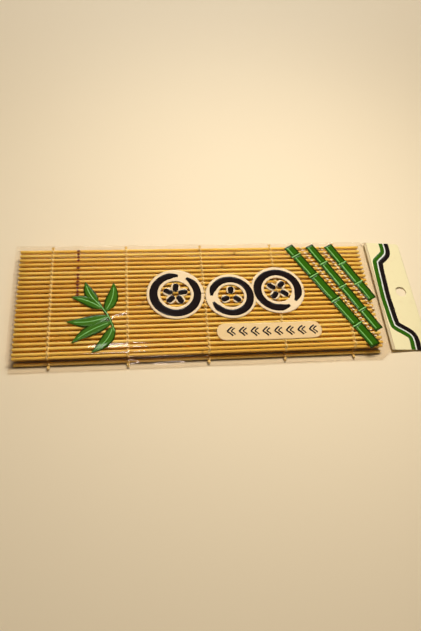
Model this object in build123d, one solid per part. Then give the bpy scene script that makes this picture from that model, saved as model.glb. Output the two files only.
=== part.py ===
from build123d import *
import os
from math import asin, cos, radians, sin

os.makedirs("parts", exist_ok=True)

# A bamboo rolling mat, folded in three and packed in a clear film bag with a hang header.
# X runs along the sticks towards the header, Y across them to the far side, Z is up.
# The mat is laid in a Z fold: bottom panel, a stick standing at the far side, middle
# panel upside down, a stick standing at the near side, top panel.

# Driving dimensions of the mat, in millimetres
stick_length = 240.0
stick_diameter = 2.1
stick_end_chamfer = 0.25
stick_pitch = 3.55
bottom_stick_count = 24
middle_stick_count = 23
top_stick_count = 23
twine_thickness = 0.30
twine_width = 1.0
twine_fit = 0.02
strand_gap = 0.10
hinge_gap = 0.08
row_shares = [0.090, 0.297, 0.513, 0.724, 0.920]

# Knots that end the twine at the mat's two free edges
knot_diameter = 1.8
knot_gap = 0.05
knot_seat_share = 0.8
tail_diameter = 0.5
tail_length = 0.9
tail_splay_degrees = 24.0

# Turns of the folded mat's bodies about X
level_degrees = 0.0
standing_degrees = 90.0
overturned_degrees = 180.0

# Driving dimensions of the bag
film_thickness = 0.15
film_clearance = 0.15
mouth_margin = 3.0
end_margin = 1.5
near_margin = 2.95
far_margin = 4.3
knot_margin = 0.2
shoulder_margin = 0.6
shoulder_drop = 0.8
near_top_inset = 0.7
far_top_reach = 1.8
weld_width = 1.0
weld_thickness = 0.30
weld_gap = 0.05
neck_length = 6.7
neck_slit = 0.05
header_length = 28.2
header_width = 90.0
header_thickness = 0.35
header_rise = 3.0
header_side_shift = 2.65
header_corner_radius = 2.0
header_weld_width = 2.0
header_weld_thickness = 0.15
hang_hole_diameter = 8.0
hang_hole_inset = 9.0
hang_hole_side_shift = 2.0

# Sizes that follow from them
stick_radius = stick_diameter / 2
half_pitch = stick_pitch / 2
top_half = top_stick_count * stick_pitch / 2
half_twine = twine_thickness / 2
strand_radius = stick_radius + twine_fit + half_twine
strand_outer = strand_radius + half_twine
strand_slope = asin(strand_radius / half_pitch)
knot_radius = knot_diameter / 2
tail_radius = tail_diameter / 2
tail_splay = radians(tail_splay_degrees)
knot_flat = half_twine * sin(strand_slope) + knot_gap
knot_centre = knot_flat + knot_seat_share * knot_radius
tail_reach = knot_radius + tail_length
knot_reach = knot_centre + tail_reach * cos(tail_splay) + tail_radius * sin(tail_splay)

# Heights of the three layers
bottom_level = film_thickness + film_clearance + strand_outer
middle_level = bottom_level + stick_pitch
top_level = middle_level + stick_pitch
mat_top = top_level + strand_outer

# The bag's plan, with the whole part centred on the origin
header_tilt = asin(header_rise / header_length)
weld_reach = film_thickness + weld_gap + weld_width
far_fold_reach = middle_stick_count * stick_pitch - top_half
bottom_edge_reach = bottom_stick_count * stick_pitch - far_fold_reach
neck_half = header_width / 2 + film_thickness
far_extent = max(far_fold_reach + far_margin + weld_reach, neck_half + header_side_shift)
near_extent = max(bottom_edge_reach + near_margin + weld_reach, neck_half - header_side_shift)
top_y = (near_extent - far_extent) / 2
header_y = top_y + header_side_shift
near_fold_y = top_y - top_half
far_fold_y = top_y + far_fold_reach
bottom_edge_y = top_y - bottom_edge_reach
top_edge_y = top_y + top_half
near_foot = bottom_edge_y - near_margin
far_foot = far_fold_y + far_margin
header_reach = header_length * cos(header_tilt) + header_thickness * sin(header_tilt)
body_length = mouth_margin + stick_length + end_margin
mouth_x = -(body_length + neck_length + header_reach) / 2
stick_x = mouth_x + mouth_margin
body_end_x = mouth_x + body_length
root_x = body_end_x + neck_length
row_xs = [stick_x + share * stick_length for share in row_shares]

# Where each body of the folded mat starts: its Y, its Z and its turn about X in degrees.
# From there u runs along the unrolled mat and w is the mat's own upper side.
bottom_start = (bottom_edge_y, bottom_level, level_degrees)
far_fold_start = (far_fold_y, bottom_level, standing_degrees)
middle_start = (far_fold_y, middle_level, overturned_degrees)
near_fold_start = (near_fold_y, middle_level, standing_degrees)
top_start = (near_fold_y, top_level, level_degrees)


def in_place(shape, start):
    """Moves a shape made with u along Y and w along Z to where its body lies folded."""
    y, z, turn = start
    return Pos(0, y, z) * Rot(turn, 0, 0) * shape


def save(name, solids):
    """Writes one node, whose solids stay separate."""
    shape = solids[0] if len(solids) == 1 else Compound(children=list(solids))
    export_step(shape, "parts/" + name + ".step")
    print(name, "solids", len(solids))


# Bamboo sticks
def stick():
    """One round stick along X from X zero, with its sawn ends broken."""
    rod = Rot(0, 90, 0) * Cylinder(
        stick_radius, stick_length, align=(Align.CENTER, Align.CENTER, Align.MIN)
    )
    return chamfer(rod.edges().filter_by(GeomType.CIRCLE), stick_end_chamfer)


def sticks(start, count):
    """Sticks one pitch apart, the first half a pitch from the body's start."""
    one = stick()
    return [
        in_place(Pos(stick_x, half_pitch + k * stick_pitch, 0) * one, start)
        for k in range(count)
    ]


# Twine
def strand(count, first_side, clear_start, round_end):
    """One strand past count sticks: a flat ribbon that goes over and under by turns.

    first_side is 1 where it goes over the first stick and -1 where it goes under.
    Midway between sticks it crosses their plane, on the line that a fold turns about.
    With clear_start it leaves room there for the rounded tip of the strand before it.
    """
    along = cos(strand_slope)
    up = sin(strand_slope)
    lead = half_twine + hinge_gap if clear_start else 0
    sides = [first_side * (-1) ** k for k in range(count)]
    length = count * stick_pitch
    outline = []
    for offset_to in (half_twine, -half_twine):
        side = sides[0]
        points = [
            (lead * along - side * offset_to * up, side * lead * up + offset_to * along)
        ]
        for k, side in enumerate(sides):
            middle = half_pitch + k * stick_pitch
            reach = strand_radius + side * offset_to
            points.append((middle - reach * up, side * reach * along))
            points.append((middle, side * reach))
            points.append((middle + reach * up, side * reach * along))
        points.append((length + side * offset_to * up, offset_to * along))
        outline.append(points)
    edges = [Line(outline[0][0], outline[1][0])]
    for points in outline:
        edges.append(Line(points[0], points[1]))
        for k in range(count):
            edges.append(ThreePointArc(*points[3 * k + 1: 3 * k + 4]))
            edges.append(Line(*points[3 * k + 3: 3 * k + 5]))
    ends = (outline[0][-1], outline[1][-1])
    if round_end:
        tip = (length + half_twine * along, -sides[-1] * half_twine * up)
        edges.append(ThreePointArc(ends[0], tip, ends[1]))
    else:
        edges.append(Line(*ends))
    return extrude(Plane.YZ * make_face(edges), twine_width / 2, both=True)


def strands(start, count, first_stick, clear_start, round_end):
    """The two strands of one row, side by side about X zero, over and under by turns."""
    shift = (strand_gap + twine_width) / 2
    over = 1 if first_stick % 2 == 0 else -1
    pair = []
    for side, x in ((over, -shift), (-over, shift)):
        ribbon = strand(count, side, clear_start, round_end)
        pair.append(in_place(Pos(x, 0, 0) * ribbon, start))
    return pair


def knot():
    """The knot that ties a row's two strands, its tails along -Y, at Y zero."""
    centre = Pos(0, -knot_centre, 0)
    ball = centre * Sphere(knot_radius)
    strands_side = Pos(0, -knot_flat, 0) * Box(
        knot_diameter, knot_diameter, knot_diameter,
        align=(Align.CENTER, Align.MIN, Align.CENTER),
    )
    body = ball - strands_side
    for turn in (-tail_splay_degrees, tail_splay_degrees):
        body += centre * Rot(90, 0, 0) * Rot(0, turn, 0) * Cylinder(
            tail_radius, tail_reach, align=(Align.CENTER, Align.CENTER, Align.MIN)
        )
    return body


# The mat's five bodies
def build_mat():
    first_middle = bottom_stick_count + 1
    first_top = first_middle + middle_stick_count + 1
    panels = [
        ("bottom", bottom_start, bottom_stick_count, 0, False, True),
        ("middle", middle_start, middle_stick_count, first_middle, True, True),
        ("top", top_start, top_stick_count, first_top, True, False),
    ]
    for name, start, count, first, clear_start, round_end in panels:
        save(name + "_sticks", sticks(start, count))
        pair = strands(start, count, first, clear_start, round_end)
        for row, x in enumerate(row_xs, 1):
            for letter, ribbon in zip("ab", pair):
                save(f"{name}_twine_{row}{letter}", [Pos(x, 0, 0) * ribbon])
    folds = [
        ("far_fold", far_fold_start, first_middle - 1),
        ("near_fold", near_fold_start, first_top - 1),
    ]
    for name, start, first in folds:
        save(name + "_stick", sticks(start, 1))
        pair = strands(start, 1, first, True, True)
        save(name + "_twines", [Pos(x, 0, 0) * ribbon for x in row_xs for ribbon in pair])
    near_knot = Pos(0, bottom_edge_y, bottom_level) * knot()
    far_knot = Pos(0, top_edge_y, top_level) * Rot(0, 0, 180) * knot()
    save("bottom_edge_knots", [Pos(x, 0, 0) * near_knot for x in row_xs])
    save("top_edge_knots", [Pos(x, 0, 0) * far_knot for x in row_xs])


# Bag
def bag_outline():
    """The inside of the bag across the mat, from the near weld over to the far weld."""
    over = mat_top + film_clearance
    fold_reach = strand_outer + shoulder_margin
    near_shoulder = middle_level + half_pitch + strand_outer
    far_shoulder = bottom_level + half_pitch + strand_outer
    return [
        (near_foot, film_thickness),
        (near_foot + knot_margin, bottom_level + tail_radius + knot_margin),
        (near_fold_y - fold_reach, near_shoulder),
        (near_fold_y + near_top_inset, over),
        (top_edge_y + far_top_reach, over),
        (top_edge_y + knot_reach + shoulder_margin, over - shoulder_drop),
        (far_fold_y + fold_reach, far_shoulder),
        (far_foot, film_thickness),
    ]


def slit_outline():
    """The inside of the sleeve at the header's root, with a point for each of the bag's."""
    bag = bag_outline()
    width = bag[-1][0] - bag[0][0]
    near = header_y - header_width / 2
    ys = [near + (y - bag[0][0]) / width * header_width for y, z in bag]
    heights = [header_rise + header_thickness for y in ys]
    heights[0] = heights[-1] = header_rise - neck_slit
    return list(zip(ys, heights))


def section(points, x, grow):
    """A flat face across the bag at one X, grown outwards by grow."""
    face = make_face(Polyline(*points, close=True))
    if grow:
        face = offset(face, grow, kind=Kind.INTERSECTION)
    return Plane((x, 0, 0), x_dir=(0, 1, 0), z_dir=(1, 0, 0)) * face


def film_front():
    """The front sheet: over the mat and down both sides to the back sheet."""
    bag = bag_outline()
    sleeve = extrude(section(bag, mouth_x, film_thickness), body_length)
    sleeve -= extrude(section(bag, mouth_x, 0), body_length)
    below = Pos(mouth_x, near_foot - mat_top, film_thickness) * Box(
        body_length, far_foot - near_foot + 2 * mat_top, mat_top,
        align=(Align.MIN, Align.MIN, Align.MAX),
    )
    return sleeve - below


def film_back():
    """The back sheet, flat on the table under the mat."""
    width = far_foot - near_foot + 2 * film_thickness
    return Pos(mouth_x, near_foot - film_thickness, 0) * Box(
        body_length, width, film_thickness, align=(Align.MIN, Align.MIN, Align.MIN)
    )


def film_neck():
    """The sleeve from the mat's end to the header, which tapers to a flat slit."""
    ends = [(bag_outline(), body_end_x), (slit_outline(), root_x)]
    outside = loft([section(points, x, film_thickness) for points, x in ends], ruled=True)
    inside = loft([section(points, x, 0) for points, x in ends], ruled=True)
    return outside - inside


def side_weld(foot, side):
    """The strip along one side where the two sheets are welded, beyond the front sheet."""
    align = Align.MIN if side > 0 else Align.MAX
    start = foot + side * (film_thickness + weld_gap)
    return Pos(mouth_x, start, 0) * Box(
        body_length, weld_width, weld_thickness, align=(Align.MIN, align, Align.MIN)
    )


# Header
header_plane = Plane(
    (root_x, header_y, header_rise),
    x_dir=(cos(header_tilt), 0, -sin(header_tilt)),
    z_dir=(sin(header_tilt), 0, cos(header_tilt)),
)


def header_panel():
    """The hang header, from its root edge at the sleeve down to the table."""
    outline = Rectangle(header_length, header_width, align=(Align.MIN, Align.CENTER))
    outline = fillet(outline.vertices().sort_by(Axis.X)[-2:], header_corner_radius)
    hole_x = header_length - hang_hole_inset
    hole = Pos(hole_x, hang_hole_side_shift) * Circle(hang_hole_diameter / 2)
    return extrude(header_plane * (outline - hole), header_thickness)


def header_weld():
    """The film welded over the header's root edge."""
    strip = Pos(0, 0, header_thickness) * Box(
        header_weld_width, header_width, header_weld_thickness,
        align=(Align.MIN, Align.CENTER, Align.MIN),
    )
    return header_plane * strip


def build_bag():
    save("film_front", [film_front()])
    save("film_back", [film_back()])
    save("film_neck", [film_neck()])
    save("near_side_weld", [side_weld(near_foot, -1)])
    save("far_side_weld", [side_weld(far_foot, 1)])
    save("header_panel", [header_panel()])
    save("header_weld", [header_weld()])


build_mat()
build_bag()

# Places that the mounts and the folds' hinges need
hole_place = (header_length - hang_hole_inset, hang_hole_side_shift, header_thickness / 2)
print("hang hole centre", header_plane.from_local_coords(hole_place))
print("hang hole axis", header_plane.z_dir)
print("fold lines Y", near_fold_y, far_fold_y, "free edges Y", bottom_edge_y, top_edge_y)
print("layer levels Z", bottom_level, middle_level, top_level)
pitches = bottom_stick_count + middle_stick_count + top_stick_count + 1
print("flat mat", stick_length, "by", pitches * stick_pitch + stick_diameter)
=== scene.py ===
import bisect
import math
import random

import bpy
from mathutils import Matrix, Vector, noise


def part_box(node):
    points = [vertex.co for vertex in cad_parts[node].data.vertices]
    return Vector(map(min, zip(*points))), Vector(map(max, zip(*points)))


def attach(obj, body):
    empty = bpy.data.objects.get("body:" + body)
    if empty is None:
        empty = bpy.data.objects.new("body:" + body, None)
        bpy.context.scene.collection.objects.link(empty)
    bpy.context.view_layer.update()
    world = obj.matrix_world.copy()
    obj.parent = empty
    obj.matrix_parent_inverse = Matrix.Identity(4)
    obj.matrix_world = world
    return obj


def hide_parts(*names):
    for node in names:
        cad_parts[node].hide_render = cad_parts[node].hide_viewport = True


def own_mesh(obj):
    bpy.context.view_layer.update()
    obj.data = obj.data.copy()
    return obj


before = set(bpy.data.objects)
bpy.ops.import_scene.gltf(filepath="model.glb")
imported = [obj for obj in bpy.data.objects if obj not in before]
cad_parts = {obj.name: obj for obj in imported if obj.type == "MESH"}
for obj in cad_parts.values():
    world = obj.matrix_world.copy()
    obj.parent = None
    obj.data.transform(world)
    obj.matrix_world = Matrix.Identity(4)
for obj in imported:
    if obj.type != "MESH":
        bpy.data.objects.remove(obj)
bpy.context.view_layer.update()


# Camera. It looks down on the bag from its near side, a little left of the middle, and is
# turned so that the sticks fall away slightly to the right.
camera_place = Vector((-0.05923, -0.20323, 0.33809))
camera_target = Vector((-0.01076, -0.01500, 0.00967))
camera_roll = math.radians(10.84)
camera_lens = 32.87
camera_sensor = 36.0
camera_clip = 0.01

camera = bpy.data.objects.new("camera", bpy.data.cameras.new("camera"))
camera.data.sensor_fit = "AUTO"
camera.data.sensor_width = camera_sensor
camera.data.lens = camera_lens
camera.data.clip_start = camera_clip
facing = (camera_place - camera_target).to_track_quat("Z", "Y").to_matrix()
turned = facing @ Matrix.Rotation(camera_roll, 3, "Z")
camera.matrix_world = Matrix.Translation(camera_place) @ turned.to_4x4()
bpy.context.collection.objects.link(camera)
bpy.context.scene.camera = camera
bpy.context.scene.view_settings.view_transform = "Standard"


# Table and lamps. The bag lies on a cream table top that runs out into a pale backdrop. Two
# soft lamps stand beyond its far side, and a small one makes the glints on the film's left
# half. Two cards show only in the film, over its far shoulder and in its near side.
table_size = 6.0
table_colour = (0.82, 0.69, 0.465, 1.0)
table_roughness = 0.7
table_drop = 0.00005
room_colour = (1.0, 0.74, 0.50, 1.0)
room_strength = 0.10
backdrop_colour = (0.84, 0.68, 0.46, 1.0)
backdrop_starts = 0.25
backdrop_full = 0.75
lamp_target = Vector((0.0, 0.01, 0.0))
lamp_white = (1.0, 0.965, 0.94)
lamps = [
    ("key_lamp", Vector((0.058, 0.095, 0.38)), (0.10, 0.10), 1.15, lamp_white, False),
    ("high_lamp", Vector((0.232, 0.38, 1.52)), (0.42, 0.42), 9.8, lamp_white, False),
    ("glint_lamp", Vector((-0.09, 0.064, 0.46)), (0.15, 0.05), 0.50, (1.0, 0.98, 0.95), True),
    ("far_card", Vector((0.05, 0.80, 0.24)), (0.90, 0.12), 4.0, (0.95, 1.0, 1.0), True),
    ("near_card", Vector((-0.02, -0.60, 0.10)), (0.10, 0.03), 0.32, (1.0, 0.80, 0.72), True),
]


def finish_nodes(name):
    """A new finish and the parts of it that the sections below set."""
    made = bpy.data.materials.new(name)
    made.use_nodes = True
    return made, made.node_tree, made.node_tree.nodes["Principled BSDF"]


def add_node(tree, kind, settings=(), inputs=()):
    """Adds one node. An input takes a plain value or a link from another node's output."""
    made = tree.nodes.new(kind)
    for name, value in settings:
        setattr(made, name, value)
    for name, value in inputs:
        if isinstance(value, bpy.types.NodeSocket):
            tree.links.new(value, made.inputs[name])
        else:
            made.inputs[name].default_value = value
    return made


def maths(tree, operation, *values):
    """One sum of plain values and other nodes' outputs."""
    return add_node(
        tree, "ShaderNodeMath", [("operation", operation)], enumerate(values)
    ).outputs[0]


def spread(tree, source, low, high, to_low=0.0, to_high=1.0):
    """Takes low to high of the source to a new range, and holds the rest at its ends."""
    return add_node(tree, "ShaderNodeMapRange", (), [
        ("Value", source), ("From Min", low), ("From Max", high), ("To Min", to_low),
        ("To Max", to_high),
    ]).outputs["Result"]


def surface_mix(tree, share, under, over, end="Material Output"):
    """Lays one shader over another by a share and makes them the surface."""
    mixed = add_node(
        tree, "ShaderNodeMixShader", (),
        [(0, share), (1, under.outputs[0]), (2, over.outputs[0])],
    )
    tree.links.new(mixed.outputs[0], tree.nodes[end].inputs["Surface"])


def seen_share(tree):
    """1 for what the camera sees straight, mirrored or through glass, and 0 for lighting."""
    path = add_node(tree, "ShaderNodeLightPath").outputs
    share = maths(tree, "MAXIMUM", path["Is Camera Ray"], path["Is Glossy Ray"])
    return maths(tree, "MAXIMUM", share, path["Is Transmission Ray"])


half_table = table_size / 2
table_corners = [(-1, -1), (1, -1), (1, 1), (-1, 1)]
table_mesh = bpy.data.meshes.new("table_top")
table_mesh.from_pydata(
    [(x * half_table, y * half_table, -table_drop) for x, y in table_corners], [], [(0, 1, 2, 3)]
)
table_top = bpy.data.objects.new("table_top", table_mesh)
bpy.context.collection.objects.link(table_top)
table_finish, tree, shader = finish_nodes("pale_table")
shader.inputs["Base Color"].default_value = table_colour
shader.inputs["Roughness"].default_value = table_roughness
place = add_node(tree, "ShaderNodeTexCoord").outputs["Object"]
away = add_node(tree, "ShaderNodeVectorMath", [("operation", "LENGTH")], [(0, place)])
far_share = spread(tree, away.outputs["Value"], backdrop_starts, backdrop_full)
pale = add_node(tree, "ShaderNodeEmission", (), [("Color", backdrop_colour)])
surface_mix(tree, maths(tree, "MULTIPLY", far_share, seen_share(tree)), shader, pale)
table_mesh.materials.append(table_finish)

for name, place, size, power, colour, only_glints in lamps:
    lamp = bpy.data.objects.new(name, bpy.data.lights.new(name, "AREA"))
    lamp.data.shape = "ELLIPSE"
    lamp.data.size, lamp.data.size_y = size
    lamp.data.energy = power
    lamp.data.color = colour
    lamp.visible_diffuse = not only_glints
    lamp.visible_glossy = only_glints
    lamp.location = place
    lamp.rotation_euler = (place - lamp_target).to_track_quat("Z", "Y").to_euler()
    bpy.context.collection.objects.link(lamp)

room = bpy.data.worlds.new("room")
room.use_nodes = True
tree = room.node_tree
dim = tree.nodes["Background"]
dim.inputs["Color"].default_value = room_colour
dim.inputs["Strength"].default_value = room_strength
pale = add_node(tree, "ShaderNodeBackground", (), [("Color", backdrop_colour)])
path = add_node(tree, "ShaderNodeLightPath")
surface_mix(tree, path.outputs["Is Camera Ray"], dim, pale, "World Output")
bpy.context.scene.world = room


# Bamboo sticks. Split from bamboo culms, turned round, sanded and sawn to one length. They
# differ a little in tone and thickness, some are slightly bowed, and some cross a joint of the
# culm, which shows as a faint darker band.
MM = 0.001
stick_panels = [
    ("bottom_panel", "bottom_sticks"),
    ("far_fold", "far_fold_stick"),
    ("middle_panel", "middle_sticks"),
    ("near_fold", "near_fold_stick"),
    ("top_panel", "top_sticks"),
]
stick_pitch = 3.55
stick_sides = 16
stick_rings = 34
end_break = 0.22
end_break_middle = 0.45
end_break_slope = 0.85
cut_share = 0.6
cut_roughness = 0.05
cut_depth = 0.06
bow_most = 0.09
oval_share = 0.012
length_scatter = 0.25
thickness_scatter = 0.012
thickness_waves = 0.05
joint_share = 0.4
joint_swell = 0.045
joint_reach = 1.1
joint_stations = (-1.2, -0.6, 0, 0.6, 1.2)
joint_darkness = 0.75
stick_seed = 68
tone_most = 0.62
patch_share = 0.45
grain_share = 0.55
pore_share = 0.6
bamboo_roughness = (0.30, 0.52)
grain_relief = (0.35, 0.00004)
straw_tones = [(0.0, (0.79, 0.42, 0.048)), (0.45, (0.93, 0.58, 0.092)), (1.0, (0.98, 0.71, 0.17))]
grain_colour = (0.54, 0.24, 0.016, 1.0)
joint_colour = (0.38, 0.16, 0.02, 1.0)
cut_colour = (0.80, 0.50, 0.17, 1.0)
grain_scale = (38.0, 2600.0, 2600.0)
patch_scale = (14.0, 260.0, 260.0)
cut_scale = (200.0, 5200.0, 5200.0)


def stretched_noise(tree, scale, detail, roughness=0.55):
    """Noise in the piece's own metres, stretched by a scale for each axis."""
    place = add_node(tree, "ShaderNodeTexCoord").outputs["Object"]
    stretch = add_node(
        tree, "ShaderNodeVectorMath", [("operation", "MULTIPLY")], [(0, place), (1, scale)]
    )
    return add_node(tree, "ShaderNodeTexNoise", (), [
        ("Vector", stretch.outputs[0]), ("Scale", 1.0), ("Detail", detail),
        ("Roughness", roughness),
    ]).outputs["Fac"]


def tone_ramp(tree, source, stops):
    """A colour that changes with the source through the given stops."""
    made = add_node(tree, "ShaderNodeValToRGB", (), [("Fac", source)])
    ramp = made.color_ramp
    while len(ramp.elements) < len(stops):
        ramp.elements.new(1.0)
    for element, (position, colour) in zip(ramp.elements, stops):
        element.position = position
        element.color = (*colour, 1.0)
    return made.outputs["Color"]


def tinted(tree, share, under, over):
    """Lays one colour over another by a share. Any of them may be a node's output."""
    return add_node(
        tree, "ShaderNodeMix", [("data_type", "RGBA")], [(0, share), (6, under), (7, over)]
    ).outputs[2]


def mark_of(tree, label):
    """A value that the mesh carries for each of its points."""
    return add_node(tree, "ShaderNodeAttribute", [("attribute_name", label)]).outputs["Fac"]


def raised(tree, shader, height, relief):
    """Gives a finish its fine relief, of a strength and a depth in metres."""
    strength, depth = relief
    made = add_node(
        tree, "ShaderNodeBump", (),
        [("Strength", strength), ("Distance", depth), ("Height", height)],
    )
    tree.links.new(made.outputs["Normal"], shader.inputs["Normal"])


def bamboo_finish():
    """Sanded bamboo: straw to honey by the stick, fine long grain, joint bands, pale cuts."""
    made, tree, shader = finish_nodes("sanded_bamboo")
    grain = stretched_noise(tree, grain_scale, 5.0, 0.62)
    patches = stretched_noise(tree, patch_scale, 2.0)
    pores = stretched_noise(tree, cut_scale, 1.0)
    patches = spread(tree, patches, 0.3, 0.7)
    tone = maths(tree, "MULTIPLY_ADD", patches, patch_share, mark_of(tree, "stick_tone"))
    straw = tone_ramp(tree, tone, straw_tones)
    lines = spread(tree, grain, 0.50, 0.74, 0.0, grain_share)
    grained = tinted(tree, lines, straw, grain_colour)
    banded = tinted(tree, mark_of(tree, "stick_joint"), grained, joint_colour)
    dots = spread(tree, pores, 0.52, 0.62, 0.0, pore_share)
    sawn = tinted(tree, dots, cut_colour, joint_colour)
    whole = tinted(tree, mark_of(tree, "sawn_end"), banded, sawn)
    tree.links.new(whole, shader.inputs["Base Color"])
    roughness = spread(tree, grain, 0.3, 0.8, *bamboo_roughness)
    tree.links.new(roughness, shader.inputs["Roughness"])
    raised(tree, shader, grain, grain_relief)
    return made


def add_piece(name, body, corners, faces, finish, marks=()):
    """Makes one piece from corners in millimetres and lets it move with its body."""
    mesh = bpy.data.meshes.new(name)
    mesh.from_pydata([(x * MM, y * MM, z * MM) for x, y, z in corners], [], faces)
    for label, values in marks:
        layer = mesh.attributes.new(label, "FLOAT", "POINT")
        layer.data.foreach_set("value", values)
    mesh.shade_smooth()
    mesh.materials.append(finish)
    piece = bpy.data.objects.new(name, mesh)
    bpy.context.collection.objects.link(piece)
    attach(piece, body)
    return piece


def box_mm(node):
    """The lowest and highest corner of a CAD node, in millimetres."""
    low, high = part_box(node)
    return Vector(low) / MM, Vector(high) / MM


def ring_faces(first, rings, sides):
    """Quads between rings of points that follow each other."""
    faces = []
    for ring in range(rings - 1):
        for side in range(sides):
            near = first + ring * sides
            after = (side + 1) % sides
            faces.append((near + side, near + after, near + sides + after, near + sides + side))
    return faces


def join_shape(whole, shape):
    """Adds a shape's corners, faces and marks to those of a piece."""
    first = len(whole[0])
    whole[0].extend(shape[0])
    whole[1].extend(tuple(first + point for point in face) for face in shape[1])
    for kept, added in zip(whole[2:], shape[2:]):
        kept.extend(added)


def bamboo_stick(low_x, high_x, y, z, radius, luck):
    """One stick's corners, faces and marks, with its own bow, thickness and joint band."""
    low_x += luck.uniform(0, length_scatter)
    high_x -= luck.uniform(0, length_scatter)
    tone = luck.random() * tone_most
    bow = luck.uniform(0, bow_most)
    bow_way = luck.uniform(0, 2 * math.pi)
    oval_way = luck.uniform(0, math.pi)
    joint_x = luck.uniform(low_x, high_x) if luck.random() < joint_share else None
    seed = luck.uniform(0, 100)
    span = high_x - low_x
    stations = [0.0, end_break * end_break_middle, end_break]
    inner = stick_rings - 2 * len(stations)
    stations += [end_break + (span - 2 * end_break) * (k + 1) / (inner + 1) for k in range(inner)]
    if joint_x is not None:
        near_joint = joint_x - low_x
        stations += [near_joint + reach * joint_reach for reach in joint_stations]
    stations += [span - end_break, span - end_break * end_break_middle, span]
    stations = sorted(min(max(along, 0.0), span) for along in stations)
    corners, joint_marks = [], []
    for along in stations:
        x = low_x + along
        to_end = min(along, span - along)
        swell = 0.0
        if joint_x is not None:
            swell = math.exp(-(((x - joint_x) / joint_reach) ** 2))
        size = radius * (1 + thickness_scatter * noise.noise((x * thickness_waves, seed, 0)))
        size += joint_swell * swell
        if to_end < end_break:
            size -= (end_break - to_end) * end_break_slope
        bend = bow * math.sin(math.pi * along / span)
        for side in range(stick_sides):
            turn = 2 * math.pi * side / stick_sides
            here = size * (1 + oval_share * math.cos(2 * (turn - oval_way)))
            if to_end == 0.0:
                here -= cut_roughness * luck.random()
            corners.append((
                x,
                y + bend * math.cos(bow_way) + here * math.cos(turn),
                z + bend * math.sin(bow_way) + here * math.sin(turn),
            ))
            joint_marks.append(joint_darkness * swell)
    rings = len(stations)
    faces = ring_faces(0, rings, stick_sides)
    cut_from = len(corners)
    for x, ring, flip in ((low_x, 0, False), (high_x, rings - 1, True)):
        rim = [ring * stick_sides + side for side in range(stick_sides)]
        start = len(corners)
        into = cut_depth if flip else -cut_depth
        for side in range(stick_sides):
            turn = 2 * math.pi * side / stick_sides
            here = radius * cut_share * (1 + cut_roughness * luck.random())
            corners.append((
                x - into * luck.random(), y + here * math.cos(turn), z + here * math.sin(turn)
            ))
        corners.append((x - into * luck.random(), y, z))
        for side in range(stick_sides):
            after = (side + 1) % stick_sides
            band = (rim[after], rim[side], start + side, start + after)
            fan = (start + after, start + side, start + stick_sides)
            faces.append(band[::-1] if flip else band)
            faces.append(fan[::-1] if flip else fan)
    joint_marks += [0.0] * (len(corners) - cut_from)
    cut_marks = [0.0] * cut_from + [1.0] * (len(corners) - cut_from)
    return corners, faces, [tone] * len(corners), joint_marks, cut_marks


bamboo = bamboo_finish()
luck = random.Random(stick_seed)
stick_counts = {}
for body, node in stick_panels:
    low, high = box_mm(node)
    stick_radius = (high.z - low.z) / 2
    count = 1 + round((high.y - low.y - 2 * stick_radius) / stick_pitch)
    stick_counts[body] = count
    whole = [], [], [], [], []
    for k in range(count):
        y = low.y + stick_radius + k * stick_pitch
        z = (low.z + high.z) / 2
        join_shape(whole, bamboo_stick(low.x, high.x, y, z, stick_radius, luck))
    marks = list(zip(("stick_tone", "stick_joint", "sawn_end"), whole[2:]))
    piece = add_piece(node + "_bamboo", body, whole[0], whole[1], bamboo, marks)
    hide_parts(node)


# Twine. Five rows of plied cotton, two strands to a row, twisted half a turn round each
# other between every two sticks so that one passes over a stick and the other under it. The
# strands are soft: they flatten over a stick and are round where they cross.
row_panels = [
    ("bottom_panel", "bottom", 0),
    ("far_fold", "far_fold", 90),
    ("middle_panel", "middle", 180),
    ("near_fold", "near_fold", 90),
    ("top_panel", "top", 0),
]
strand_half_width = 0.68
strand_half_height = 0.22
crossing_half_width = 0.42
crossing_half_height = 0.30
strand_clear = 0.02
crossing_shift = 0.50
strand_steps = 16
strand_sides = 12
yarn_depth = 0.11
yarns = 3
yarn_lay = 1.7
end_tip = 0.7
thread_share = 0.35
cotton_roughness = 0.85
cotton_sheen = 0.1
cotton_sheen_roughness = 0.5
fibre_relief = (0.6, 0.00006)
# The darkest tones serve as painted shade between the yarns; the rest are the cotton's own tones.
cotton_tones_and_shade = [(0.0, (0.52, 0.29, 0.05)), (0.5, (0.84, 0.57, 0.17)), (1.0, (0.96, 0.74, 0.31))]
fibre_scale = (5200.0, 5200.0, 5200.0)
thread_scale = (900.0, 900.0, 900.0)


def cotton_finish():
    """Unbleached cotton: pale beige with short rough fibres, and painted shade between the yarns that
    lightens toward their crowns.
    """
    made, tree, shader = finish_nodes("unbleached_cotton")
    fibres = stretched_noise(tree, fibre_scale, 3.0)
    threads = stretched_noise(tree, thread_scale, 2.0)
    threads = spread(tree, threads, 0.3, 0.7)
    # Painted shade: the colour darkens where a yarn's surface lies low between the yarns and lightens
    # on the crowns.
    depth = spread(tree, mark_of(tree, "yarn_shade_height"), 0.0, 1.0, 0.1, 0.7)
    tone = maths(tree, "MULTIPLY_ADD", threads, thread_share, depth)
    tree.links.new(tone_ramp(tree, tone, cotton_tones_and_shade), shader.inputs["Base Color"])
    shader.inputs["Roughness"].default_value = cotton_roughness
    shader.inputs["Sheen Weight"].default_value = cotton_sheen
    shader.inputs["Sheen Roughness"].default_value = cotton_sheen_roughness
    raised(tree, shader, fibres, fibre_relief)
    return made


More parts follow.
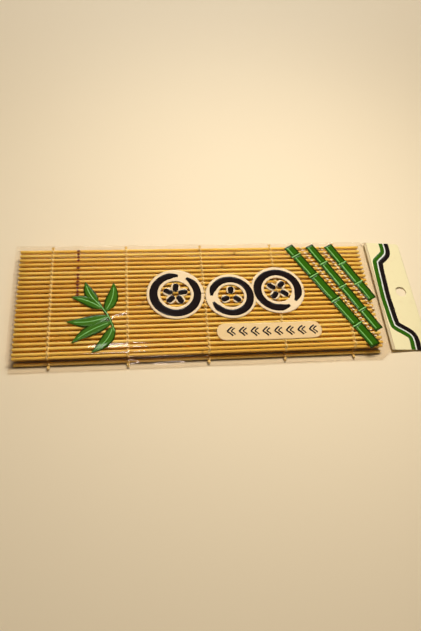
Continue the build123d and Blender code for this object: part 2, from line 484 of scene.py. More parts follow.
def cord_along(stations, yarn_turn):
    """A plied cord through stations of (centre, half width, half height).

    Half width lies along X as far as the cord's direction lets it.
    """
    corners, heights = [], []
    travelled = 0.0
    count = len(stations)
    for k, (centre, half_width, half_height) in enumerate(stations):
        before = stations[max(k - 1, 0)][0]
        after = stations[min(k + 1, count - 1)][0]
        along = (after - before).normalized()
        if k:
            travelled += (centre - before).length
        wide = (Vector((1, 0, 0)) - along * along.x).normalized()
        tall = along.cross(wide)
        lay = yarn_turn + 2 * math.pi * travelled / yarn_lay
        for side in range(strand_sides):
            turn = 2 * math.pi * side / strand_sides
            ply = math.cos(yarns * turn - lay)
            swell = 1 + yarn_depth * (ply - 0.5)
            place = centre + wide * (half_width * swell * math.cos(turn))
            place += tall * (half_height * swell * math.sin(turn))
            corners.append(tuple(place))
            # Each point's yarn height, which the cotton finish turns into painted shade between the
            # yarns.
            heights.append(0.5 + 0.5 * ply)
    faces = ring_faces(0, count, strand_sides)
    for at_end in (0, 1):
        ring = (count - 1) * strand_sides * at_end
        centre, half_width, half_height = stations[-1 if at_end else 0]
        beside = stations[-2 if at_end else 1][0]
        tip = len(corners)
        corners.append(tuple(centre + (centre - beside).normalized() * half_height * end_tip))
        heights.append(0.5)
        for side in range(strand_sides):
            after = ring + (side + 1) % strand_sides
            fan = (ring + side, after, tip)
            faces.append(fan if at_end else fan[::-1])
    return corners, faces, heights


def cotton_piece(name, body, whole):
    """Makes one piece of twine from its corners, faces and yarn heights."""
    marks = [("yarn_shade_height", whole[2])]
    return add_piece(name, body, whole[0], whole[1], cotton, marks)


def strand_stations(count, side, x, start_y, start_z, turn_degrees):
    """Where one strand of a row goes past count sticks, from one fold line to the next."""
    turn = math.radians(turn_degrees)
    reach = stick_radius + strand_clear + strand_half_height
    stations = []
    for step in range(count * strand_steps + 1):
        pitches = step / strand_steps
        over = math.sin(math.pi * pitches)
        beside = math.cos(math.pi * pitches)
        u = pitches * stick_pitch
        w = side * reach * over
        flat = over * over
        stations.append((
            Vector((
                x + side * crossing_shift * beside,
                start_y + u * math.cos(turn) - w * math.sin(turn),
                start_z + u * math.sin(turn) + w * math.cos(turn),
            )),
            crossing_half_width + (strand_half_width - crossing_half_width) * flat,
            crossing_half_height + (strand_half_height - crossing_half_height) * flat,
        ))
    return stations


beside_stick = stick_pitch / 2 - stick_radius
near_line = box_mm("top_sticks")[0].y - beside_stick
far_line = box_mm("middle_sticks")[1].y + beside_stick
bottom_edge = box_mm("bottom_sticks")[0].y - beside_stick
top_edge = box_mm("top_sticks")[1].y + beside_stick
levels = [sum(corner.z for corner in box_mm(node)) / 2
          for node in ("bottom_sticks", "middle_sticks", "top_sticks")]
row_starts = {
    "bottom": (bottom_edge, levels[0]),
    "far_fold": (far_line, levels[0]),
    "middle": (far_line, levels[1]),
    "near_fold": (near_line, levels[1]),
    "top": (near_line, levels[2]),
}
row_places = []
for row in range(1, 6):
    pair = [sum(corner.x for corner in box_mm(f"top_twine_{row}{letter}")) / 2 for letter in "ab"]
    row_places.append(sum(pair) / 2)

cotton = cotton_finish()
sticks_so_far = 0
for body, layer, turn_degrees in row_panels:
    start_y, start_z = row_starts[layer]
    count = stick_counts[body]
    first_side = 1 if sticks_so_far % 2 == 0 else -1
    sticks_so_far += count
    fold = [], [], []
    for row, x in enumerate(row_places, 1):
        whole = fold if "fold" in layer else ([], [], [])
        for side in (first_side, -first_side):
            stations = strand_stations(count, side, x, start_y, start_z, turn_degrees)
            join_shape(whole, cord_along(stations, row + side))
        if whole is not fold:
            piece = cotton_piece(f"{layer}_row_{row}", body, whole)
            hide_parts(f"{layer}_twine_{row}a", f"{layer}_twine_{row}b")
    if "fold" in layer:
        piece = cotton_piece(f"{layer}_rows", body, fold)
        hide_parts(f"{layer}_twines")


# Edge knots. At each free edge of the mat a row's two strands are tied in one overhand knot,
# pulled up to the last stick and cut off, which leaves two short frayed tails.
knot_scale = 0.27
knot_depth = 0.42
knot_thickness = 0.30
knot_steps = 60
knot_out = 0.95
knot_tilt = 0.4
knot_seed = 10
yarn_turn_most = 3
lead_path = [(crossing_shift, 0.0, 0.0), (0.35, 0.35, 0.12), (0.15, 0.75, 0.2)]
tail_thickness = 0.24
tail_taper = (0.62, 0.2)
tail_fibres = 3
tail_steps = 6
tail_drop = 0.5
tail_root = (0.25, 0.5)
tail_splay = (0.25, 0.55)
tail_length = (0.6, 0.95)
tail_opens = (0.12, 0.22)
tail_twist = 2.2


def edge_knot(x, edge_y, z, way, luck):
    """One tied end. Way is -1 where the tails point to the near side, 1 to the far side."""
    whole = [], [], []

    def lay_in(stations):
        join_shape(whole, cord_along(stations, luck.uniform(0, yarn_turn_most)))

    middle = Vector((x, edge_y + way * knot_out, z))
    tilt = luck.uniform(-knot_tilt, knot_tilt)
    loop = []
    for step in range(knot_steps + 1):
        turn = 2 * math.pi * step / knot_steps
        across = math.sin(turn) + 2 * math.sin(2 * turn)
        out = math.cos(turn) - 2 * math.cos(2 * turn)
        up = -math.sin(3 * turn)
        local = Vector((across, out, up * knot_depth / knot_scale)) * knot_scale
        local.rotate(Matrix.Rotation(tilt, 3, "X"))
        loop.append((middle + local, knot_thickness, knot_thickness))
    lay_in(loop)
    for side in (-1, 1):
        lead = [
            Vector((x + side * beside, edge_y + way * out, z + side * up))
            for beside, out, up in lead_path
        ]
        lay_in([(point, crossing_half_width, crossing_half_height) for point in lead])
        splay = side * luck.uniform(*tail_splay)
        length = luck.uniform(*tail_length)
        root = middle + Vector((side * tail_root[0], way * tail_root[1], 0))
        for fibre in range(tail_fibres):
            spin = 2 * math.pi * fibre / tail_fibres
            tail = []
            for step in range(tail_steps + 1):
                share = step / tail_steps
                open_out = tail_opens[0] + tail_opens[1] * share * share
                sway = spin + share * tail_twist
                half = tail_thickness * (tail_taper[0] - tail_taper[1] * share)
                place = root + Vector((
                    splay * share * length + open_out * math.cos(sway),
                    way * length * share,
                    -tail_drop * share * share + open_out * math.sin(sway),
                ))
                tail.append((place, half, half))
            lay_in(tail)
    return whole


luck = random.Random(knot_seed)
knot_edges = [
    ("bottom_panel", "bottom_edge_knots", bottom_edge, levels[0], -1),
    ("top_panel", "top_edge_knots", top_edge, levels[2], 1),
]
for body, node, edge_y, z, way in knot_edges:
    whole = [], [], []
    for x in row_places:
        join_shape(whole, edge_knot(x, edge_y, z, way, luck))
    piece = cotton_piece(node + "_tied", body, whole)
    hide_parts(node)


# Bag film. One thin clear sheet lies over the mat and runs down both sides to the back sheet
# on the table. It touches the twine, and long soft creases in it catch the light.
film_gauge = 0.05
film_over = 10.34
hem_low = 0.16
hem_high = 1.0
near_side_shape = [
    (-6.5, hem_low), (-6.4, 1.7), (-5.5, 3.7), (-3.1, 7.0), (-1.8, 9.1), (-0.5, 10.1),
    (1.5, film_over),
]
far_side_shape = [
    (-0.3, film_over), (2.0, 10.0), (3.2, 9.0), (3.7, 6.0), (4.0, 3.0), (4.5, hem_low),
]
film_round_offs = 3
film_step_across = 0.6
film_step_along = 1.5
row_rise = 0.14
row_rise_reach = 1.5
ripple_height = 0.16
ripple_waves = [(0.021, 0.16, 3.7, 0.7), (0.07, 0.05, 9.1, 0.3)]
side_ripple_height = 0.5
side_ripple_waves = (0.045, 0.22, 21.3)
side_ripple_starts = (0.5, 2.5)
side_ripple_full = 4.0
crease_sway = 0.25
crease_sway_waves = 0.11
crease_fade = 7.0
film_creases = [
    ((-90.0, -33.8), (-38.0, -32.8), 0.44, 2.2),
    ((-78.0, -14.0), (-55.0, -7.0), 0.42, 2.0),
    ((-56.0, -30.2), (-43.0, -28.4), 0.26, 1.3),
    ((10.0, -36.0), (70.0, -37.0), 0.20, 1.8),
    ((-60.0, 31.0), (10.0, 33.5), 0.22, 1.8),
    ((60.0, -8.0), (100.0, 2.0), 0.24, 1.8),
    ((70.0, 26.0), (102.0, 20.0), 0.24, 2.0),
    ((-136.0, 12.0), (-124.0, 8.0), 0.25, 1.5),
]
film_tint = (0.99, 0.978, 0.962, 1.0)
film_shine = 0.012
film_shine_most = 0.12
film_shine_power = 5.0
film_shine_roughness = 0.07


def rounded_path(points, times):
    """Cuts the corners of an open path again and again until they are round."""
    for _ in range(times):
        cut = [points[0]]
        for (ay, az), (by, bz) in zip(points, points[1:]):
            cut.append((ay * 0.75 + by * 0.25, az * 0.75 + bz * 0.25))
            cut.append((ay * 0.25 + by * 0.75, az * 0.25 + bz * 0.75))
        points = cut + [points[-1]]
    return points


def measured_path(points):
    """The path with its distance so far, which equals Y on the flat top."""
    travelled = [0.0]
    for (ay, az), (by, bz) in zip(points, points[1:]):
        travelled.append(travelled[-1] + math.hypot(by - ay, bz - az))
    nearest = min(range(len(points)), key=lambda k: abs(points[k][0]) + abs(points[k][1] - film_over))
    shift = points[nearest][0] - travelled[nearest]
    return [(far + shift, y, z) for far, (y, z) in zip(travelled, points)]


film_section = [(near_line + off, z) for off, z in near_side_shape]
film_section += [(0.0, film_over)]
film_section += [(far_line + off, z) for off, z in far_side_shape]
film_path = measured_path(rounded_path(film_section, film_round_offs))
film_reaches = [reach for reach, _, _ in film_path]


def path_place(q):
    """The place and outward direction at a distance along the film's path."""
    q = min(max(q, film_path[0][0]), film_path[-1][0])
    low = min(bisect.bisect(film_reaches, q), len(film_path) - 1) - 1
    (qa, ya, za), (qb, yb, zb) = film_path[low:low + 2]
    share = (q - qa) / (qb - qa)
    run = math.hypot(yb - ya, zb - za)
    out = (-(zb - za) / run, (yb - ya) / run)
    return (ya + (yb - ya) * share, za + (zb - za) * share), out


def film_lift(x, q):
    """How far the film stands off its plain path: twine rows, creases and soft ripples."""
    rise = sum(row_rise * math.exp(-(((x - row) / row_rise_reach) ** 2)) for row in row_places)
    for (ax, aq), (bx, bq), height, reach in film_creases:
        length = math.hypot(bx - ax, bq - aq)
        ux, uq = (bx - ax) / length, (bq - aq) / length
        along = (x - ax) * ux + (q - aq) * uq
        off = (q - aq) * ux - (x - ax) * uq
        off -= crease_sway * math.sin(along * crease_sway_waves)
        beyond = max(0.0, -along, along - length)
        fade = math.exp(-((beyond / crease_fade) ** 2))
        rise += height * fade * math.exp(-((off / reach) ** 2))
    rise += ripple_height * sum(
        share * (0.5 + 0.5 * noise.noise((x * wave_x, q * wave_q, place)))
        for wave_x, wave_q, place, share in ripple_waves
    )
    near_starts, far_starts = side_ripple_starts
    on_side = max(0.0, near_line - near_starts - q, q - far_line - far_starts)
    side_share = min(1.0, on_side / side_ripple_full)
    wave_x, wave_q, place = side_ripple_waves
    wave = noise.noise((x * wave_x, q * wave_q, place))
    return rise + side_share * side_ripple_height * wave


def on_film(x, q, lift):
    """The place on the film at X and a distance across it, lifted off it by lift."""
    (y, z), (out_y, out_z) = path_place(q)
    off = lift + film_lift(x, q)
    if z < hem_high:
        off = lift + (off - lift) * max(0.0, (z - hem_low) / (hem_high - hem_low))
    return Vector((x, y + out_y * off, z + out_z * off))


def film_finish():
    """Clear film: what is under it shows through, and it shines where it turns to a lamp."""
    made, tree, shader = finish_nodes("clear_film")
    clear = add_node(tree, "ShaderNodeBsdfTransparent", (), [("Color", film_tint)])
    edge_on = add_node(tree, "ShaderNodeLayerWeight", (), [("Blend", 0.5)])
    steep = maths(tree, "POWER", edge_on.outputs["Facing"], film_shine_power)
    share = spread(tree, steep, 0.0, 1.0, film_shine, film_shine_most)
    shine = add_node(tree, "ShaderNodeBsdfGlossy", (), [("Roughness", film_shine_roughness)])
    surface_mix(tree, share, clear, shine)
    tree.nodes.remove(shader)
    return made


def closed_sheet(places, outs, faces, gauge):
    """A thin closed sheet under a surface of places, outward directions and faces."""
    under = len(places)
    corners = [tuple(place) for place in places]
    corners += [tuple(place - out * gauge) for place, out in zip(places, outs)]
    sides = set()
    for face in faces:
        sides.update(zip(face, face[1:] + face[:1]))
    closed = list(faces) + [tuple(point + under for point in face[::-1]) for face in faces]
    for here, after in sorted(sides):
        if (after, here) not in sides:
            closed.append((after, here, here + under, after + under))
    return corners, closed


def grid_faces(rows, columns):
    """Quads over rows of points."""
    return [
        (start, start + columns, start + columns + 1, start + 1)
        for row in range(rows - 1)
        for start in range(row * columns, (row + 1) * columns - 1)
    ]


def bag_sheet(name, node, sheet, gauge, finish):
    """Makes one sheet of the bag with a mesh of its own, which moves with the bag."""
    corners, faces = closed_sheet(*sheet, gauge)
    piece = add_piece(name, "bag", corners, faces, finish)
    if node:
        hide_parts(node)
    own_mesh(piece)


clear_film = film_finish()
front_low, front_high = box_mm("film_front")
film_start, film_end = front_low.x, front_high.x
q_low, q_high = film_path[0][0], film_path[-1][0]
across_count = round((q_high - q_low) / film_step_across)
along_count = round((film_end - film_start) / film_step_along)
places, outs = [], []
for k in range(along_count + 1):
    x = film_start + (film_end - film_start) * k / along_count
    for j in range(across_count + 1):
        q = q_low + (q_high - q_low) * j / across_count
        places.append(on_film(x, q, 0.0))
        outs.append(Vector((0, *path_place(q)[1])))
faces = grid_faces(along_count + 1, across_count + 1)
sheet = places, outs, faces
bag_sheet("front_sheet", "film_front", sheet, film_gauge, clear_film)

for node in ("film_back", "near_side_weld", "far_side_weld"):
    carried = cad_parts[node]
    carried.data.materials.clear()
    carried.data.materials.append(clear_film)


# Header. A stiffer cream sheet with a round hang hole and rounded outer corners, welded to the
# bag's end. It slopes down to the table, and the sleeve of clear film between the mat's end and
# the header narrows into it.
header_rise = 3.0
header_length = 28.2
header_gauge = 0.35
header_corner = 2.0
header_wave = 0.30
hole_radius = 4.0
hole_inset = 9.0
hole_shift = 2.0
hole_frame = 6.0
hole_frame_steps = 8
hole_rings = 5
corner_steps = 4
left_steps = 9
near_steps = 26
far_steps = 22
header_colour = (0.86, 0.76, 0.43, 1.0)
header_fleck_colour = (0.80, 0.68, 0.38, 1.0)
header_roughness = 0.34
fleck_scale = (160.0, 160.0, 160.0)
neck_rings = 14
neck_points = 96
neck_crease = 0.25
neck_crease_waves = (0.16, 1.2, 5.0)
neck_clear = 0.06
weld_ribs = 34
weld_steps = 4
weld_lift = 0.10
weld_rib_height = 0.04
weld_gauge = 0.05
# The weld's tan is partly its milky pressed film and partly painted shade along the header's root.
weld_milk_and_shade_colour = (0.80, 0.66, 0.42, 1.0)
weld_roughness = 0.3
weld_ink_share = 0.45

header_low, header_high = box_mm("header_panel")
root_x = header_low.x
header_y = (header_low.y + header_high.y) / 2
header_half = (header_high.y - header_low.y) / 2
tilt_sine = header_rise / header_length
tilt_cosine = math.sqrt(1 - tilt_sine * tilt_sine)
header_up = Vector((tilt_sine, 0, tilt_cosine))


def on_header(s, t, lift):
    """The place on the header's upper side at s from its root and t from its middle line."""
    soft = noise.noise((s * 0.06, t * 0.045, 4.0)) + 0.4 * noise.noise((s * 0.15, t * 0.12, 8.0))
    wave = header_wave * soft * math.sin(math.pi * s / header_length)
    root = Vector((root_x, header_y + t, header_rise))
    return root + Vector((tilt_cosine, 0, -tilt_sine)) * s + header_up * (header_gauge + wave + lift)


def even_steps(low, high, count):
    """Even steps from low to high, without the last."""
    return [low + (high - low) * k / count for k in range(count)]


def header_outline():
    """The header laid flat: places (s, t) and faces, with its round hole and outer corners."""
    hole_s, hole_t = header_length - hole_inset, hole_shift
    left, right = hole_s - hole_frame, hole_s + hole_frame
    near, far = hole_t - hole_frame, hole_t + hole_frame
    corner_s, corner_t = header_length - header_corner, header_half - header_corner
    s_lines = even_steps(0, left, left_steps) + even_steps(left, right, hole_frame_steps)
    s_lines += [right] + even_steps(corner_s, header_length, corner_steps) + [header_length]
    t_lines = even_steps(-header_half, -corner_t, corner_steps)
    t_lines += even_steps(-corner_t, near, near_steps) + even_steps(near, far, hole_frame_steps)
    t_lines += even_steps(far, corner_t, far_steps)
    t_lines += even_steps(corner_t, header_half, corner_steps) + [header_half]
    flat, known, faces = [], {}, []

    def point(s, t):
        key = (round(s, 4), round(t, 4))
        if key not in known:
            known[key] = len(flat)
            over_s, over_t = s - corner_s, abs(t) - corner_t
            if over_s > 0 and over_t > 0:
                shrink = max(over_s, over_t) / math.hypot(over_s, over_t)
                s = corner_s + over_s * shrink
                t = math.copysign(corner_t + over_t * shrink, t)
            flat.append((s, t))
        return known[key]

    for sa, sb in zip(s_lines, s_lines[1:]):
        for ta, tb in zip(t_lines, t_lines[1:]):
            if left <= (sa + sb) / 2 <= right and near <= (ta + tb) / 2 <= far:
                continue
            faces.append((point(sa, ta), point(sb, ta), point(sb, tb), point(sa, tb)))
    s_steps = even_steps(left, right, hole_frame_steps)
    t_steps = even_steps(near, far, hole_frame_steps)
    rim = [(s, near) for s in s_steps] + [(right, t) for t in t_steps]
    rim += [(right + left - s, far) for s in s_steps] + [(left, far + near - t) for t in t_steps]
    rings = []
    for s, t in rim:
        away = Vector((s - hole_s, t - hole_t)).normalized() * hole_radius
        spoke = [point(s, t)]
        for ring in range(1, hole_rings + 1):
            share = ring / hole_rings
            flat.append((s + (hole_s + away.x - s) * share, t + (hole_t + away.y - t) * share))
            spoke.append(len(flat) - 1)
        rings.append(spoke)
    for here, after in zip(rings, rings[1:] + rings[:1]):
        for ring in range(hole_rings):
            faces.append((here[ring + 1], here[ring], after[ring], after[ring + 1]))
    return flat, [face[::-1] if turns_back(flat, face) else face for face in faces]


def turns_back(flat, face):
    """Whether a flat face's corners run clockwise."""
    twice_area = 0.0
    for here, after in zip(face, face[1:] + face[:1]):
        twice_area += flat[here][0] * flat[after][1] - flat[after][0] * flat[here][1]
    return twice_area < 0


def header_finish():
    """Cream printed film: smooth and slightly glossy, with faint flecks in the ink."""
    made, tree, shader = finish_nodes("cream_print")
    flecks = stretched_noise(tree, fleck_scale, 2.0)
    cream = tinted(
        tree, spread(tree, flecks, 0.55, 0.75, 0.0, 0.5), header_colour, header_fleck_colour
    )
    tree.links.new(cream, shader.inputs["Base Color"])
    shader.inputs["Roughness"].default_value = header_roughness
    return made


cream_print = header_finish()
flat, faces = header_outline()
places = [on_header(s, t, 0.0) for s, t in flat]
sheet = places, [header_up] * len(places), faces
bag_sheet("header_sheet", "header_panel", sheet, header_gauge, cream_print)


def neck_section(share):
    """The sleeve's section: the bag's outline at share 0 and the header's root at share 1."""
    x = film_end + (root_x - film_end) * share
    ease = share * share * (3 - 2 * share)
    half = neck_points // 2
    ring = []
    for k in range(half + 1):
        along = k / half
        start = on_film(film_end, q_low + (q_high - q_low) * along, 0.0)
        end = on_header(0, header_half * (2 * along - 1), neck_clear)
        ring.append(start.lerp(end, ease))
    for k in range(1, half):
        along = 1 - k / half
        y = film_path[0][1] + (film_path[-1][1] - film_path[0][1]) * along
        start = Vector((0, y, neck_clear))
        end = on_header(0, header_half * (2 * along - 1), -header_gauge - neck_clear)
        ring.append(start.lerp(end, ease))
    wave_y, wave_share, seed = neck_crease_waves
    for k, place in enumerate(ring):
        place.x = x
        crease = noise.noise((place.y * wave_y, share * wave_share, seed))
        place.z += neck_crease * crease * math.sin(math.pi * share) * (1 if k <= half else 0)
    return ring


places, outs = [], []
for k in range(neck_rings + 1):
    ring = neck_section(k / neck_rings)
    middle = sum(ring, Vector()) / len(ring)
    for j, place in enumerate(ring):
        along = ring[(j + 1) % len(ring)] - ring[j - 1]
        out = Vector((0, -along.z, along.y))
        if out.length < 1e-6:
            out = place - middle
        places.append(place)
        outs.append(out.normalized())
faces = []
for k in range(neck_rings):
    for j in range(neck_points):
        after = (j + 1) % neck_points
        near, far = k * neck_points, (k + 1) * neck_points
        faces.append((near + j, far + j, far + after, near + after))
sheet = places, outs, faces
bag_sheet("neck_sleeve", "film_neck", sheet, film_gauge, clear_film)


def weld_finish():
    """Film pressed between ribbed jaws, with fine ribs along the weld: milky, and tinted tan as
    painted shade along the header's root.
    """
    made, tree, shader = finish_nodes("pressed_film")
    shader.inputs["Base Color"].default_value = weld_milk_and_shade_colour
    shader.inputs["Roughness"].default_value = weld_roughness
    clear = add_node(tree, "ShaderNodeBsdfTransparent", (), [("Color", film_tint)])
    surface_mix(tree, weld_ink_share, clear, shader)
    return made


pressed_film = weld_finish()
weld_low, weld_high = box_mm("header_weld")
weld_width = weld_high.x - weld_low.x
places = []
weld_columns = 2 * weld_ribs
for k in range(weld_columns + 1):
    for j in range(weld_steps + 1):
        s = weld_width * j / weld_steps
        t = header_half * (2 * k / weld_columns - 1)
        places.append(on_header(s, t, weld_lift + weld_rib_height * math.cos(math.pi * j)))
faces = [face[::-1] for face in grid_faces(weld_columns + 1, weld_steps + 1)]
sheet = places, [header_up] * len(places), faces
bag_sheet("header_seal", "header_weld", sheet, weld_gauge, pressed_film)


# Printed designs. Opaque and half clear inks on the bag's upper side and on the header: three
# round slices of a roll, a cream label with a herringbone row, a sprig of leaves, slanting
# culms with dotted cords, a column of small lozenges and the header's stepped stripes.
ink_gauge = 0.02
ink_step = 1.1
first_lift = 0.04
next_lift = 0.08
top_lift = 0.12
slice_marks = [
    ((-33.0, 2.0), 14.8, 3.1, 80.0, 5),
    ((4.5, -0.5), 13.2, 2.8, 200.0, 3),
    ((37.5, 3.5), 14.2, 3.0, 320.0, 4),
]
slice_rim = 1.5
slice_gap_degrees = 22.0
arc_steps = 48
filling_path = [(0.12, 0.0), (0.36, 0.9), (0.58, 0.0)]
filling_rim = (3.1, 0.6)
filling_brush = (1.9, 0.5)
brush_thinner = 0.25
brush_press = (9, 0.35)
brush_waves = 4.0
line_end = 0.05
label_path = [(-8.0, -27.9), (27.0, -28.6), (63.0, -28.0)]
label_half = 6.3
label_length = 71.0
label_marks = 8
label_mark_start = (-1.0, -27.9)
label_mark_pitch = 7.9
label_mark_sag = 0.6
label_mark_bow = 0.3
label_mark_lines = [(0.0, 3.6, 3.3, 0.55), (2.6, 5.2, 2.4, 0.45)]
leaf_twig = [(-73.5, -25.0), (-77.0, -14.0), (-83.0, -5.0), (-86.5, -1.0)]
leaves = [
    ((-74.5, -21.5), (-88.0, -39.5), 3.3, 2.5),
    ((-75.5, -18.0), (-100.5, -32.5), 3.5, -1.5),
    ((-77.0, -14.0), (-104.0, -17.0), 3.6, 2.0),
    ((-81.0, -8.0), (-101.5, 1.5), 3.2, -1.5),
    ((-84.0, -4.0), (-92.5, 13.0), 3.0, 1.5),
    ((-79.5, -10.0), (-74.0, 12.0), 3.4, -2.0),
]
leaf_edge = 0.55
leaf_inset = 0.25
leaf_shape = (0.75, 0.9)
leaf_rib_half = 0.28
twig_half = 0.3
twig_edge_half = 0.8
culms = [
    ((50.5, 40.3), (97.5, -42.0), 3.7, (0.10, 0.31, 0.56, 0.80)),
    ((66.0, 40.5), (102.6, -30.0), 3.2, (0.22, 0.50, 0.77)),
    ((80.0, 40.5), (103.4, -6.0), 3.4, (0.34, 0.70)),
]
cords = [((59.0, 40.0), (100.0, -36.5)), ((73.5, 40.2), (103.0, -15.5))]
culm_ends = (-0.02, 1.02)
culm_edge = 0.85
culm_gap = 0.010
culm_body_shift = -0.35
culm_light_half = 0.36
culm_light_shift = -0.42
culm_light_span = (0.03, 0.95)
culm_ring_over = 0.35
culm_ring_half = 0.42
cord_dot = 1.05
cord_dot_half = 0.55
cord_dot_step = 0.7
cord_dot_pitch = 2.6
column_x = -97.5
lozenge_reach = 1.3
lozenge_half = 0.95
lozenge_step = 0.45
column_marks = [38.8, 36.2, 33.6, 31.0, 24.8, 19.0, 16.4, 13.8, 11.2, 8.6, 6.0, 3.4]
column_colour = (0.16, 0.028, 0.016, 1.0)
header_turns = [
    (13.8, 45.0), (14.0, 36.8), (4.6, 28.7), (3.6, -3.3), (4.7, -27.2), (16.5, -34.8), (16.0, -45.0),
]
stripe_bend_reach = 1.6
stripe_green_half = 1.6
stripe_white_half = 0.45
stripe_white_shift = 2.1
stripe_dark_half = 1.8
stripe_dark_shift = 4.4
bow_steps = 12
leaf_green = (0.042, 0.138, 0.007, 1.0)
culm_green = (0.026, 0.112, 0.003, 1.0)
pale_green = (0.22, 0.51, 0.13, 1.0)
deep_green = (0.018, 0.045, 0.003, 1.0)
cream_ink_colour = (0.90, 0.70, 0.42, 1.0)
black_ink_colour = (0.010, 0.006, 0.006, 1.0)
label_colour = (0.93, 0.68, 0.34, 1.0)
white_colour = (0.80, 0.82, 0.72, 1.0)
ink_roughness = 0.22
ink_specular = 0.3
cream_clear_share = 0.12
label_clear_share = 0.3


def ink_finish(name, colour, clear_share=0.0):
    """Printed ink: even, smooth and a little glossy. A clear share lets the mat show through."""
    made, tree, shader = finish_nodes(name)
    shader.inputs["Base Color"].default_value = colour
    shader.inputs["Roughness"].default_value = ink_roughness
    shader.inputs["Specular IOR Level"].default_value = ink_specular
    if clear_share:
        clear = add_node(tree, "ShaderNodeBsdfTransparent")
        surface_mix(tree, clear_share, shader, clear)
    return made


def even_path(points, step):
    """Places at even steps along a line of points, each with its share of the way."""
    so_far = [0.0]
    for here, after in zip(points, points[1:]):
        so_far.append(so_far[-1] + math.dist(here, after))
    count = max(2, math.ceil(so_far[-1] / step))
    made, part = [], 0
    for k in range(count + 1):
        wanted = so_far[-1] * k / count
        while part < len(points) - 2 and so_far[part + 1] < wanted:
            part += 1
        share = (wanted - so_far[part]) / (so_far[part + 1] - so_far[part])
        here, after = Vector(points[part]), Vector(points[part + 1])
        made.append((here.lerp(after, min(1.0, share)), k / count))
    return made


def stroke(points, half_width, shift=0.0, step=ink_step):
    """A drawn line as rows of places across it. Its half width may change with the share."""
    path = even_path(points, step)
    widths = [half_width(share) if callable(half_width) else half_width for _, share in path]
    across = max(1, math.ceil(2 * max(widths) / step))
    rows = []
    for k, (centre, _) in enumerate(path):
        before, after = path[max(k - 1, 0)][0], path[min(k + 1, len(path) - 1)][0]
        along = (after - before).normalized()
        left = Vector((-along.y, along.x))
        rows.append([
            centre + left * (shift + widths[k] * (2 * j / across - 1)) for j in range(across + 1)
        ])
    return rows


def film_spot(place, lift):
    """Where a flat print lies on the film."""
    return on_film(place.x, place.y, lift), Vector((0, *path_place(place.y)[1]))


def header_spot(place, lift):
    """Where a flat print lies on the header, by its distance from the root and the middle."""
    return on_header(place.x, place.y, lift), header_up


def printed(name, strokes, spot, lift, ink):
    """Lays strokes of one ink on a surface as one piece that stays on the bag."""
    places, outs, faces = [], [], []
    for rows in strokes:
        first = len(places)
        for place, out in (spot(place, lift) for row in rows for place in row):
            places.append(place)
            outs.append(out)
        faces += [
            tuple(first + point for point in face) for face in grid_faces(len(rows), len(rows[0]))
        ]
    bag_sheet(name, None, (places, outs, faces), ink_gauge, ink)


def leaf_width(widest):
    """A leaf's half width: pointed at both ends and widest a third of the way."""
    early, full = leaf_shape
    return lambda share: line_end + widest * math.sin(math.pi * share ** early) ** full


def round_width(half, length):
    """A half width with round ends."""
    def width(share):
        into = max(0.0, 1 - min(share, 1 - share) * length / half)
        return line_end + half * math.sqrt(max(0.0, 1 - into ** 2))
    return width


def lozenge_width(share):
    """A half width with straight sides and two points."""
    return line_end + lozenge_half * (1 - abs(2 * share - 1))


def brushed(half, seed):
    """A brush line's half width: uneven, and thin where the brush comes and goes."""
    def width(share):
        press = min(1.0, min(share, 1 - share) * brush_press[0] + brush_press[1])
        uneven = 0.5 + 0.5 * noise.noise((share * brush_waves, seed, 0.0))
        return half * press * (1 - brush_thinner * uneven)
    return width


def bowed(start, end, bow):
    """A curved line from start to end that stands off its chord by bow."""
    start, end = Vector(start), Vector(end)
    side = Vector((start.y - end.y, end.x - start.x)).normalized()
    shares = [k / bow_steps for k in range(bow_steps + 1)]
    return [
        tuple(start.lerp(end, share) + side * bow * math.sin(math.pi * share))
        for share in shares
    ]


def arc(centre, radius, from_degrees, to_degrees):
    """Points along a part of a circle."""
    made = []
    for k in range(arc_steps + 1):
        turn = math.radians(from_degrees + (to_degrees - from_degrees) * k / arc_steps)
        made.append((centre[0] + radius * math.cos(turn), centre[1] + radius * math.sin(turn)))
    return made


black_ink = ink_finish("black_ink", black_ink_colour)
cream_ink = ink_finish("cream_ink", cream_ink_colour, cream_clear_share)
label_ink = ink_finish("label_ink", label_colour, label_clear_share)
leaf_ink = ink_finish("leaf_ink", leaf_green)
culm_ink = ink_finish("culm_ink", culm_green)
deep_ink = ink_finish("deep_green_ink", deep_green)
pale_ink = ink_finish("pale_green_ink", pale_green)
column_ink = ink_finish("brown_ink", column_colour)
white_ink = ink_finish("white_ink", white_colour)

rims, brush_lines = [], []
for number, (centre, radius, half, start_degrees, fillings) in enumerate(slice_marks):
    end_degrees = start_degrees + 360 - slice_gap_degrees
    ring = arc(centre, radius, start_degrees, end_degrees)
    rims.append(stroke(arc(centre, radius, 0, 360), half + slice_rim))
    brush_lines.append(stroke(ring, brushed(half, number)))
    for k in range(fillings):
        turn = math.radians(start_degrees + 360 * k / fillings)
        out = Vector((math.cos(turn), math.sin(turn)))
        beside = Vector((-out.y, out.x))
        petal = rounded_path([
            tuple(Vector(centre) + out * radius * reach + beside * bow)
            for reach, bow in filling_path
        ], 2)
        for lines, (width, length) in ((rims, filling_rim), (brush_lines, filling_brush)):
            lines.append(stroke(petal, round_width(width, radius * length)))
printed("slice_rims", rims, film_spot, first_lift, cream_ink)
printed("slice_brush_lines", brush_lines, film_spot, next_lift, black_ink)

label = stroke(rounded_path(label_path, 2), round_width(label_half, label_length))
printed("label", [label], film_spot, first_lift, label_ink)
marks = []
for k in range(label_marks):
    x = label_mark_start[0] + k * label_mark_pitch
    y = label_mark_start[1] - label_mark_sag * math.sin(math.pi * k / label_marks)
    for side in (-1, 1):
        for tip, tail, rise, half in label_mark_lines:
            line = bowed((x + tip, y), (x + tail, y + side * rise), label_mark_bow)
            marks.append(stroke(line, half))
printed("label_marks", marks, film_spot, top_lift, black_ink)

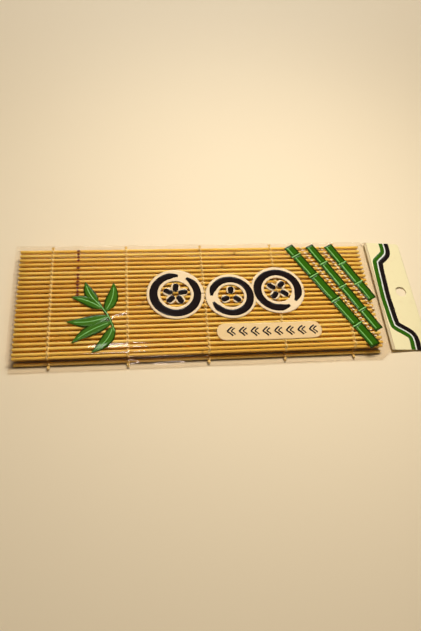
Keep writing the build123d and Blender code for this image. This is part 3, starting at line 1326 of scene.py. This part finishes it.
shadows, blades, ribs = [], [], []
for start, end, widest, bow in leaves:
    path = bowed(start, end, bow)
    shadows.append(stroke(path, leaf_width(widest + leaf_edge)))
    blades.append(stroke(path, leaf_width(widest - leaf_inset)))
    ribs.append(stroke(path[1:-2], leaf_rib_half))
twig = rounded_path(leaf_twig, 2)
shadows.append(stroke(twig, twig_edge_half))
printed("leaf_edges", shadows, film_spot, first_lift, deep_ink)
printed("leaf_blades", blades, film_spot, next_lift, leaf_ink)
printed("leaf_ribs", ribs + [stroke(twig, twig_half)], film_spot, top_lift, pale_ink)

edges, bodies, lights = [], [], []
for start, end, half, joints in culms:
    edges.append(stroke([start, end], half))
    start, end = Vector(start), Vector(end)
    along = (end - start).normalized()
    joints = (culm_ends[0], *joints, culm_ends[1])
    for low, high in zip(joints, joints[1:]):
        a = start.lerp(end, max(low, 0.0) + culm_gap)
        b = start.lerp(end, min(high, 1.0) - culm_gap)
        bodies.append(stroke([tuple(a), tuple(b)], half - culm_edge, culm_body_shift))
        light = [tuple(a.lerp(b, share)) for share in culm_light_span]
        lights.append(stroke(light, culm_light_half, half * culm_light_shift))
    for joint in joints[1:-1]:
        middle = start.lerp(end, joint)
        side = Vector((-along.y, along.x)) * (half + culm_ring_over)
        lights.append(stroke([tuple(middle - side), tuple(middle + side)], culm_ring_half))
printed("culm_edges", edges, film_spot, first_lift, deep_ink)
printed("culm_bodies", bodies, film_spot, next_lift, culm_ink)
printed("culm_lights", lights, film_spot, top_lift, pale_ink)

dots = []
for start, end in cords:
    start, end = Vector(start), Vector(end)
    along = (end - start).normalized()
    for k in range(int((end - start).length / cord_dot_pitch)):
        middle = start + along * (k + 0.5) * cord_dot_pitch
        lean = Vector((along.x - along.y, along.y + along.x)).normalized() * cord_dot
        dot = [tuple(middle - lean), tuple(middle + lean)]
        dots.append(stroke(dot, round_width(cord_dot_half, 2 * cord_dot), 0.0, cord_dot_step))
printed("cord_dots", dots, film_spot, first_lift, cream_ink)

marks = []
for y in column_marks:
    line = [(column_x - lozenge_reach, y), (column_x + lozenge_reach, y)]
    marks.append(stroke(line, lozenge_width, 0.0, lozenge_step))
printed("lozenge_column", marks, film_spot, first_lift, column_ink)

turns = [header_turns[0]]
for before, here, after in zip(header_turns, header_turns[1:], header_turns[2:]):
    for other in (before, after):
        way = (Vector(other) - Vector(here)).normalized()
        turns.append(tuple(Vector(here) + way * stripe_bend_reach))
turns = rounded_path(turns + [header_turns[-1]], 1)
stripes = [
    ("stripe_green", stripe_green_half, 0.0, culm_ink),
    ("stripe_white", stripe_white_half, stripe_white_shift, white_ink),
    ("stripe_black", stripe_dark_half, stripe_dark_shift, black_ink),
]
for name, half, shift, ink in stripes:
    printed(name, [stroke(turns, half, shift)], header_spot, first_lift, ink)
